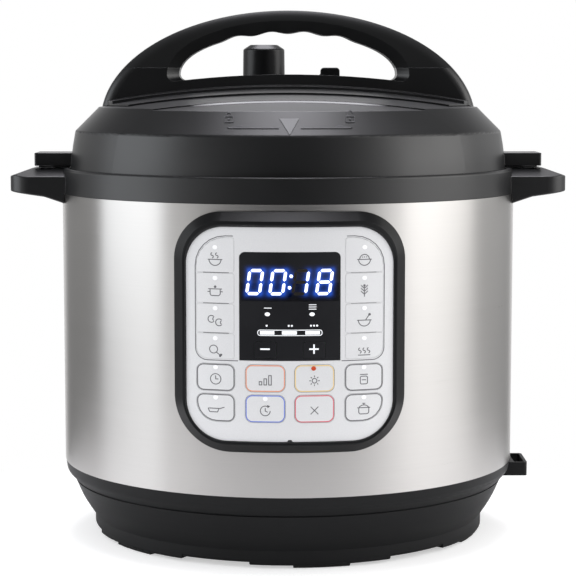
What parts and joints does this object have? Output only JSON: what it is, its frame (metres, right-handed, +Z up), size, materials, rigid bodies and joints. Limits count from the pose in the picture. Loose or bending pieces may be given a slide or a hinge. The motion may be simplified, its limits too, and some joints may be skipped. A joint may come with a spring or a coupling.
{
  "type": "electric pressure cooker",
  "caption": "Round countertop electric pressure cooker: brushed steel wall, domed twist-lock lid with arched handle, keypad with display, lift-out pot, drip cup and mains inlet.",
  "frame": {"origin": "middle of the footprint on the counter, under the feet", "axes": "+Z up, +X to the right as seen from the front, -Y towards the user; the pot's axis is upright at y = -11.6 mm"},
  "size_m": [0.3348, 0.31, 0.3163],
  "materials": {
    "black_plastic": "fine moulded texture, dark charcoal",
    "handle_plastic": "satin black",
    "bezel_plastic": "satin black frame",
    "foot_rubber": "soft black pads",
    "brushed_steel": "fine horizontal brushing",
    "pot_steel": "satin stainless",
    "liner_metal": "plain spun metal",
    "valve_steel": "turned stainless",
    "screw_steel": "plated steel",
    "cast_aluminium": "cast, lightly polished",
    "silicone": "translucent white silicone",
    "silver_panel": "pale silver film",
    "silver_key": "pale silver film over a dome switch",
    "window_plastic": "dark smoked window",
    "sign_key": "dark key in the window",
    "circuit_board": "green laminate",
    "component_plastic": "moulded component bodies",
    "cable_plastic": "pale flat cable",
    "contact_brass": "plated blades",
    "magnet": "sintered magnet",
    "cup_plastic": "clear grey drip cup"
  },
  "bodies": {
    "cooker": {"base_housing": "black_plastic", "foot_pads": "foot_rubber", "base_screws": "screw_steel", "steel_wrap": "brushed_steel", "upper_housing": "black_plastic", "cooker_liner": "liner_metal", "heating_plate": "cast_aluminium", "heating_element": "cast_aluminium", "sensor_spring": "screw_steel", "pressure_switch": "component_plastic", "thermal_fuse": "component_plastic", "bezel": "bezel_plastic", "fascia": "silver_panel", "display_window": "window_plastic", "led_module": "component_plastic", "control_board": "circuit_board", "board_screws": "screw_steel", "power_board": "circuit_board", "ribbon_cable": "cable_plastic", "power_inlet": "black_plastic", "inlet_pins": "contact_brass", "reed_switch": "component_plastic", "collector_bracket": "black_plastic"},
    "sensor": {"sensor_cap": "cast_aluminium"},
    "pot": {"inner_pot": "pot_steel"},
    "seal": {"sealing_ring": "silicone"},
    "lid": {"lid_cover": "black_plastic", "lid_magnet": "magnet", "lid_plate": "pot_steel", "seal_rack": "pot_steel", "lid_screws": "screw_steel", "handle_base": "black_plastic", "handle_grip": "handle_plastic", "steam_pipe": "valve_steel", "vent_nut": "valve_steel", "anti_block_shield": "pot_steel"},
    "steam_release": {"steam_release_handle": "handle_plastic", "vent_pin": "valve_steel"},
    "float": {"float_valve": "valve_steel", "float_seal": "silicone"},
    "collector": {"condensation_collector": "cup_plastic"},
    "key_left_1": {"key_left_1": "silver_key"},
    "key_left_2": {"key_left_2": "silver_key"},
    "key_left_3": {"key_left_3": "silver_key"},
    "key_left_4": {"key_left_4": "silver_key"},
    "key_right_1": {"key_right_1": "silver_key"},
    "key_right_2": {"key_right_2": "silver_key"},
    "key_right_3": {"key_right_3": "silver_key"},
    "key_right_4": {"key_right_4": "silver_key"},
    "key_row_1_1": {"key_row_1_1": "silver_key"},
    "key_row_1_2": {"key_row_1_2": "silver_key"},
    "key_row_1_3": {"key_row_1_3": "silver_key"},
    "key_row_1_4": {"key_row_1_4": "silver_key"},
    "key_row_2_1": {"key_row_2_1": "silver_key"},
    "key_row_2_2": {"key_row_2_2": "silver_key"},
    "key_row_2_3": {"key_row_2_3": "silver_key"},
    "key_row_2_4": {"key_row_2_4": "silver_key"},
    "key_minus": {"key_minus": "sign_key"},
    "key_plus": {"key_plus": "sign_key"}
  },
  "joints": [
    {"name": "pot_lift", "type": "slide", "parent": "cooker", "child": "pot", "axis": [0, 0, 1], "range_m": [0, 0.17]},
    {"name": "lid_lift", "type": "slide", "parent": "pot", "child": "seal", "axis": [0, 0, 1], "range_m": [0, 0.12]},
    {"name": "lid_twist", "type": "hinge", "parent": "seal", "child": "lid", "pos_m": [0, -0.01162, 0.225], "axis": [0, 0, 1], "range_deg": [0, 30]},
    {"name": "steam_release_turn", "type": "hinge", "parent": "lid", "child": "steam_release", "pos_m": [-0.015, 0.05038, 0.272], "axis": [0, 0, 1], "range_deg": [0, 45]},
    {"name": "float_valve_rise", "type": "slide", "parent": "lid", "child": "float", "axis": [0, 0, 1], "range_m": [0, 0.006]},
    {"name": "collector_slide", "type": "slide", "parent": "cooker", "child": "collector", "axis": [0, 1, 0], "range_m": [0, 0.06]},
    {"name": "sensor_press", "type": "slide", "parent": "cooker", "child": "sensor", "axis": [0, 0, 1], "range_m": [-0.002, 0], "stiffness_N_per_m": 400, "springref_m": 0.003, "deforming": ["sensor_spring"]},
    {"name": "key_left_1_press", "type": "slide", "parent": "cooker", "child": "key_left_1", "axis": [0, 1, 0], "range_m": [0, 0.0005], "stiffness_N_per_m": 500, "springref_m": -0.0005},
    {"name": "key_left_2_press", "type": "slide", "parent": "cooker", "child": "key_left_2", "axis": [0, 1, 0], "range_m": [0, 0.0005], "stiffness_N_per_m": 500, "springref_m": -0.0005},
    {"name": "key_left_3_press", "type": "slide", "parent": "cooker", "child": "key_left_3", "axis": [0, 1, 0], "range_m": [0, 0.0005], "stiffness_N_per_m": 500, "springref_m": -0.0005},
    {"name": "key_left_4_press", "type": "slide", "parent": "cooker", "child": "key_left_4", "axis": [0, 1, 0], "range_m": [0, 0.0005], "stiffness_N_per_m": 500, "springref_m": -0.0005},
    {"name": "key_right_1_press", "type": "slide", "parent": "cooker", "child": "key_right_1", "axis": [0, 1, 0], "range_m": [0, 0.0005], "stiffness_N_per_m": 500, "springref_m": -0.0005},
    {"name": "key_right_2_press", "type": "slide", "parent": "cooker", "child": "key_right_2", "axis": [0, 1, 0], "range_m": [0, 0.0005], "stiffness_N_per_m": 500, "springref_m": -0.0005},
    {"name": "key_right_3_press", "type": "slide", "parent": "cooker", "child": "key_right_3", "axis": [0, 1, 0], "range_m": [0, 0.0005], "stiffness_N_per_m": 500, "springref_m": -0.0005},
    {"name": "key_right_4_press", "type": "slide", "parent": "cooker", "child": "key_right_4", "axis": [0, 1, 0], "range_m": [0, 0.0005], "stiffness_N_per_m": 500, "springref_m": -0.0005},
    {"name": "key_row_1_1_press", "type": "slide", "parent": "cooker", "child": "key_row_1_1", "axis": [0, 1, 0], "range_m": [0, 0.0005], "stiffness_N_per_m": 500, "springref_m": -0.0005},
    {"name": "key_row_1_2_press", "type": "slide", "parent": "cooker", "child": "key_row_1_2", "axis": [0, 1, 0], "range_m": [0, 0.0005], "stiffness_N_per_m": 500, "springref_m": -0.0005},
    {"name": "key_row_1_3_press", "type": "slide", "parent": "cooker", "child": "key_row_1_3", "axis": [0, 1, 0], "range_m": [0, 0.0005], "stiffness_N_per_m": 500, "springref_m": -0.0005},
    {"name": "key_row_1_4_press", "type": "slide", "parent": "cooker", "child": "key_row_1_4", "axis": [0, 1, 0], "range_m": [0, 0.0005], "stiffness_N_per_m": 500, "springref_m": -0.0005},
    {"name": "key_row_2_1_press", "type": "slide", "parent": "cooker", "child": "key_row_2_1", "axis": [0, 1, 0], "range_m": [0, 0.0005], "stiffness_N_per_m": 500, "springref_m": -0.0005},
    {"name": "key_row_2_2_press", "type": "slide", "parent": "cooker", "child": "key_row_2_2", "axis": [0, 1, 0], "range_m": [0, 0.0005], "stiffness_N_per_m": 500, "springref_m": -0.0005},
    {"name": "key_row_2_3_press", "type": "slide", "parent": "cooker", "child": "key_row_2_3", "axis": [0, 1, 0], "range_m": [0, 0.0005], "stiffness_N_per_m": 500, "springref_m": -0.0005},
    {"name": "key_row_2_4_press", "type": "slide", "parent": "cooker", "child": "key_row_2_4", "axis": [0, 1, 0], "range_m": [0, 0.0005], "stiffness_N_per_m": 500, "springref_m": -0.0005},
    {"name": "key_minus_press", "type": "slide", "parent": "cooker", "child": "key_minus", "axis": [0, 1, 0], "range_m": [0, 0.0005], "stiffness_N_per_m": 500, "springref_m": -0.0005},
    {"name": "key_plus_press", "type": "slide", "parent": "cooker", "child": "key_plus", "axis": [0, 1, 0], "range_m": [0, 0.0005], "stiffness_N_per_m": 500, "springref_m": -0.0005}
  ]
}
